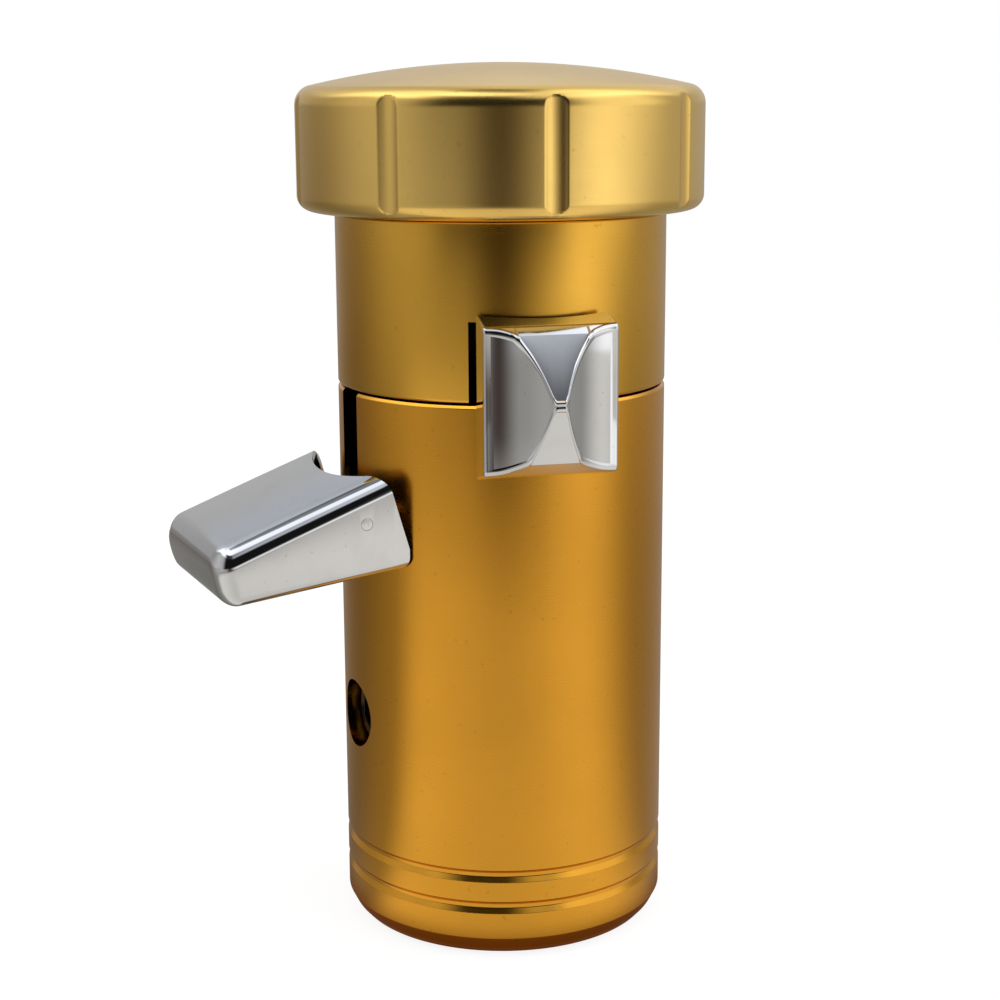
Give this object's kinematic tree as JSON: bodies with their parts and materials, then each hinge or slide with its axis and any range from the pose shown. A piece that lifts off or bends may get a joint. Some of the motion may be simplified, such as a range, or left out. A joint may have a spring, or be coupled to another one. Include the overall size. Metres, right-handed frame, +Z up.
{
  "type": "gear shift knob",
  "caption": "Truck gear shift knob with a turned gold barrel, fluted domed cap, chrome range flip lever and beaked splitter thumb lever over air valves.",
  "frame": {"origin": "on the barrel's axis, in the plane of its base rim, where the gear lever comes in", "axes": "+Z up the barrel to the cap; the beaked splitter lever points along -Y and the range flip lever is 79 degrees round from it, towards -X"},
  "size_m": [0.0736, 0.0586, 0.1185],
  "materials": {
    "barrel_gold": "satin gold anodised, fine turned marks",
    "cap_gold": "satin champagne gold anodised",
    "lever_chrome": "polished chrome plate",
    "plain_steel": "ground",
    "spring_steel": "drawn wire",
    "blackened_steel": "black oxide",
    "fitting_brass": "turned",
    "valve_acetal": "moulded black",
    "hub_alloy": "machined, plain",
    "seal_rubber": "moulded black"
  },
  "bodies": {
    "knob": {"air_fitting_1": "fitting_brass", "air_fitting_2": "fitting_brass", "air_fitting_3": "fitting_brass", "cap_seal": "seal_rubber", "hub_screw_1": "blackened_steel", "hub_screw_2": "blackened_steel", "lower_barrel": "barrel_gold", "mount_hub": "hub_alloy", "range_detent_ball": "plain_steel", "range_detent_plug": "blackened_steel", "range_detent_spring": "spring_steel", "range_pivot_pin": "plain_steel", "range_valve_body": "valve_acetal", "set_screw": "blackened_steel", "splitter_detent_ball": "plain_steel", "splitter_detent_plug": "blackened_steel", "splitter_detent_spring": "spring_steel", "splitter_pivot_pin": "plain_steel", "splitter_valve_body": "valve_acetal", "tie_screw_1": "blackened_steel", "tie_screw_2": "blackened_steel", "top_cap": "cap_gold", "upper_barrel": "barrel_gold"},
    "range_lever_set": {"range_lever": "lever_chrome", "range_arm": "plain_steel", "range_lever_pin": "plain_steel"},
    "range_spool_set": {"range_spool": "plain_steel", "range_spool_seal_1": "seal_rubber", "range_spool_seal_2": "seal_rubber", "range_spool_seal_3": "seal_rubber"},
    "splitter_lever_set": {"splitter_lever": "lever_chrome", "splitter_arm": "plain_steel"},
    "splitter_spool_set": {"splitter_spool": "plain_steel", "splitter_spool_clip": "spring_steel", "splitter_spool_seal_1": "seal_rubber", "splitter_spool_seal_2": "seal_rubber"}
  },
  "joints": [
    {"name": "range_flip", "type": "hinge", "parent": "knob", "child": "range_lever_set", "pos_m": [-0.01104, -0.00215, 0.063], "axis": [-0.1908, 0.9816, 0], "range_deg": [0, 26]},
    {"name": "range_spool_slide", "type": "slide", "parent": "knob", "child": "range_spool_set", "axis": [0, 0, 1], "range_m": [-0.00253, 0]},
    {"name": "splitter_flip", "type": "hinge", "parent": "knob", "child": "splitter_lever_set", "pos_m": [0, 0.01125, 0.081], "axis": [-1, 0, 0], "range_deg": [0, 7.5]},
    {"name": "splitter_spool_slide", "type": "slide", "parent": "knob", "child": "splitter_spool_set", "axis": [0, 0, 1], "range_m": [0, 0.00187]}
  ],
  "couplings": [
    {"joint": "range_spool_slide", "follows": "range_flip", "m_per_rad": -0.0055521},
    {"joint": "splitter_spool_slide", "follows": "splitter_flip", "m_per_rad": 0.014209}
  ]
}
